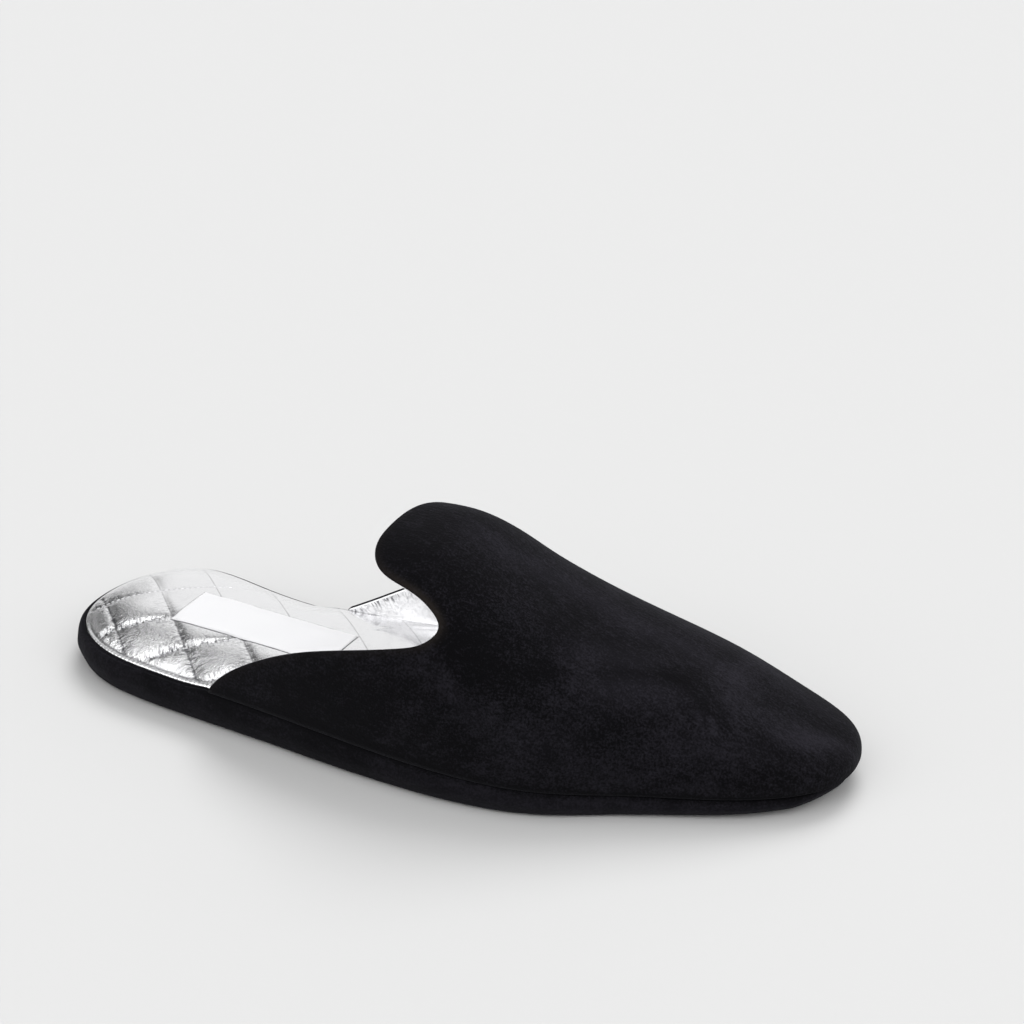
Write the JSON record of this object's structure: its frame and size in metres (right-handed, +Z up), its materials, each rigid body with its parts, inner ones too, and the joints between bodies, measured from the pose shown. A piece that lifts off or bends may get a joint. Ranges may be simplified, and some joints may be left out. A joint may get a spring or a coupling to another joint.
{
  "type": "mule slipper",
  "caption": "Backless mule slipper for the right foot: hollow suede vamp with a raised tongue on a wrapped flat sole, with a quilted silver insole.",
  "frame": {"origin": "on the floor, under the middle of the sole's length and width", "axes": "+X from heel to toe, +Y to the inner side of the foot, +Z up"},
  "size_m": [0.25, 0.0844, 0.0664],
  "materials": {
    "sole_wrap": "matt black suede wrap",
    "suede": "matt black suede with a short nap",
    "foil_leather": "crinkled silver foil, quilted",
    "patch": "smooth white satin"
  },
  "bodies": {
    "root": {"sole": "sole_wrap", "upper": "suede", "insole": "foil_leather", "label_patch": "patch"}
  },
  "joints": []
}
